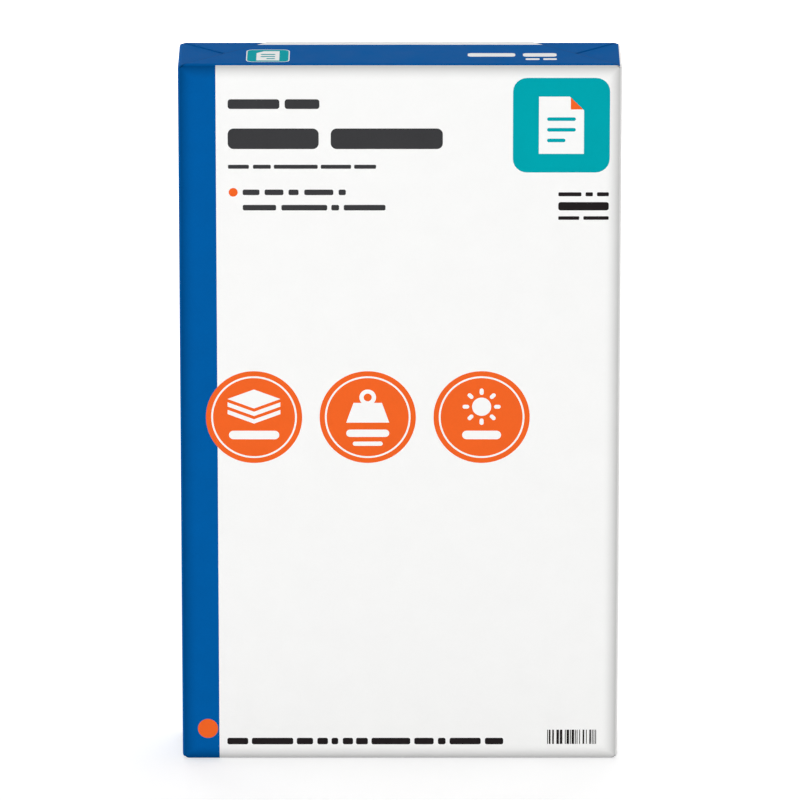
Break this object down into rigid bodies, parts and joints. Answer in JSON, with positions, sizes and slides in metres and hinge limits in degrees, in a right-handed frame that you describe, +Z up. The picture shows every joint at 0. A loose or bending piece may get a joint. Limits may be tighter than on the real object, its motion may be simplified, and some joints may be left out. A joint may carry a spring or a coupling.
{
  "type": "ream of paper",
  "caption": "Sealed ream of legal-size copy paper in a printed paper wrapper with folded ends, standing upright.",
  "frame": {"origin": "on the ground under the middle of the pack", "axes": "+Z up the length of the sheets, -Y out of the printed front face, +X to the right seen from the front"},
  "size_m": [0.2166, 0.046, 0.3591],
  "materials": {
    "wrapper": "coated white wrapping paper with printed fields of blue, orange, teal and dark grey, satin"
  },
  "bodies": {
    "root": {"wrapped_ream": "wrapper"}
  },
  "joints": []
}
